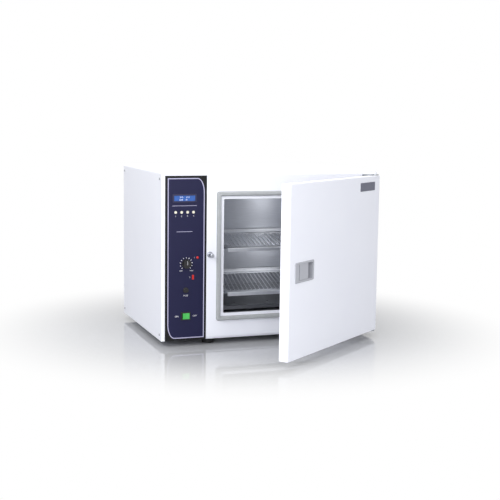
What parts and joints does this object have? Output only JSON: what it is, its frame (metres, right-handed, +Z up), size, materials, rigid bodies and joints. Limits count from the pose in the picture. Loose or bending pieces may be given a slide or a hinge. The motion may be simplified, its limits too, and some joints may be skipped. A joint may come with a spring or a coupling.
{
  "type": "laboratory incubator",
  "caption": "Bench-top laboratory incubator with a hinged insulated door standing part open, shelved stainless chamber and a side control panel.",
  "frame": {"origin": "on the bench, at the middle of the cabinet's footprint", "axes": "+X to the right seen from the front, +Y into the cabinet, +Z up"},
  "size_m": [0.6988, 0.858, 0.518],
  "materials": {
    "white_enamel": "white powder coat",
    "black_anodised": "satin black",
    "navy_membrane": "printed polyester, fine texture",
    "stainless": "brushed stainless",
    "dark_steel": "heat-tinted stainless",
    "zinc_steel": "bright zinc plate",
    "grey_silicone": "matt silicone",
    "black_rubber": "matt rubber",
    "mineral_wool": "matt wool",
    "grey_plastic": "fine moulded texture",
    "black_plastic": "fine moulded texture",
    "cream_plastic": "smooth moulded",
    "green_lens": "clear tinted",
    "red_lens": "clear tinted",
    "blue_display": "lit blue",
    "clear_glass": "clear",
    "circuit_board": "solder resist",
    "white_nylon": "natural nylon",
    "aluminium_plate": "satin"
  },
  "bodies": {
    "cabinet": {"outer_shell": "white_enamel", "base_pan": "white_enamel", "back_panel": "white_enamel", "cabinet_screws": "zinc_steel", "rubber_feet": "black_rubber", "foot_screws": "zinc_steel", "compartment_wall": "zinc_steel", "insulation_slabs": "mineral_wool", "chamber_liner": "stainless", "front_fascia": "white_enamel", "door_gasket": "grey_silicone", "latch_strike": "zinc_steel", "shelf_runners": "stainless", "chamber_floor": "dark_steel", "heater_element": "dark_steel", "heater_clips": "stainless", "control_plate": "black_anodised", "panel_overlay": "navy_membrane", "display_bezel": "cream_plastic", "display_window": "blue_display", "display_module": "circuit_board", "panel_standoffs": "white_nylon", "button_board": "circuit_board", "limit_thermostat": "white_nylon", "round_lamp": "red_lens", "heating_lamp": "red_lens", "fuse_holder": "black_plastic", "power_switch": "black_plastic", "hinge_brackets": "zinc_steel", "hinge_screws": "zinc_steel", "sensor_sleeve": "stainless", "temperature_probe": "stainless", "limit_bulb": "stainless", "control_board": "circuit_board", "solid_state_relay": "black_plastic", "power_inlet": "black_plastic", "inlet_screws": "zinc_steel"},
    "door": {"door_outer_pan": "white_enamel", "door_inner_panel": "stainless", "door_insulation": "mineral_wool", "nameplate": "aluminium_plate", "handle_housing": "grey_plastic", "paddle_pin": "zinc_steel", "paddle_spring": "zinc_steel", "latch_case": "black_plastic", "hinge_bushes": "white_nylon"},
    "paddle": {"handle_paddle": "grey_plastic"},
    "bolt": {"latch_bolt": "zinc_steel"},
    "top_shelf": {"upper_shelf": "stainless"},
    "bottom_shelf": {"lower_shelf": "stainless"},
    "button_1": {"panel_button_1": "cream_plastic"},
    "button_2": {"panel_button_2": "cream_plastic"},
    "button_3": {"panel_button_3": "cream_plastic"},
    "button_4": {"panel_button_4": "cream_plastic"},
    "limit_knob": {"thermostat_knob": "black_plastic", "knob_spindle": "zinc_steel"},
    "fuse_carrier": {"fuse_cap": "black_plastic", "fuse_link": "clear_glass"},
    "rocker": {"power_rocker": "green_lens"}
  },
  "joints": [
    {"name": "door_swing", "type": "hinge", "parent": "cabinet", "child": "door", "pos_m": [0.328, -0.2715, 0.265], "axis": [0, 0, 1], "range_deg": [-38, 72]},
    {"name": "handle_paddle_swing", "type": "hinge", "parent": "door", "child": "paddle", "pos_m": [-0.05462, -0.57425, 0.263], "axis": [0, 0, -1], "range_deg": [0, 22], "stiffness_Nm_per_rad": 0.15, "springref_deg": -20.05},
    {"name": "latch_bolt_slide", "type": "slide", "parent": "door", "child": "bolt", "axis": [0.788, 0.6157, 0], "range_m": [0, 0.0036]},
    {"name": "upper_shelf_slide", "type": "slide", "parent": "cabinet", "child": "top_shelf", "axis": [0, -1, 0], "range_m": [0, 0.02]},
    {"name": "lower_shelf_slide", "type": "slide", "parent": "cabinet", "child": "bottom_shelf", "axis": [0, -1, 0], "range_m": [0, 0.02]},
    {"name": "panel_button_1_press", "type": "slide", "parent": "cabinet", "child": "button_1", "axis": [0, 1, 0], "range_m": [0, 0.0008], "stiffness_N_per_m": 400, "springref_m": -0.0008},
    {"name": "panel_button_2_press", "type": "slide", "parent": "cabinet", "child": "button_2", "axis": [0, 1, 0], "range_m": [0, 0.0008], "stiffness_N_per_m": 400, "springref_m": -0.0008},
    {"name": "panel_button_3_press", "type": "slide", "parent": "cabinet", "child": "button_3", "axis": [0, 1, 0], "range_m": [0, 0.0008], "stiffness_N_per_m": 400, "springref_m": -0.0008},
    {"name": "panel_button_4_press", "type": "slide", "parent": "cabinet", "child": "button_4", "axis": [0, 1, 0], "range_m": [0, 0.0008], "stiffness_N_per_m": 400, "springref_m": -0.0008},
    {"name": "limit_knob_turn", "type": "hinge", "parent": "cabinet", "child": "limit_knob", "pos_m": [-0.2725, -0.2453, 0.2488], "axis": [0, -1, 0], "range_deg": [-135, 135]},
    {"name": "fuse_cap_turn", "type": "hinge", "parent": "cabinet", "child": "fuse_carrier", "pos_m": [-0.2735, -0.2453, 0.1698], "axis": [0, -1, 0], "range_deg": [0, 90]},
    {"name": "power_rocker_tilt", "type": "hinge", "parent": "cabinet", "child": "rocker", "pos_m": [-0.2737, -0.24, 0.0916], "axis": [0, 0, -1], "range_deg": [0, 16]}
  ],
  "couplings": [
    {"joint": "latch_bolt_slide", "follows": "handle_paddle_swing", "m_per_rad": 0.009}
  ]
}
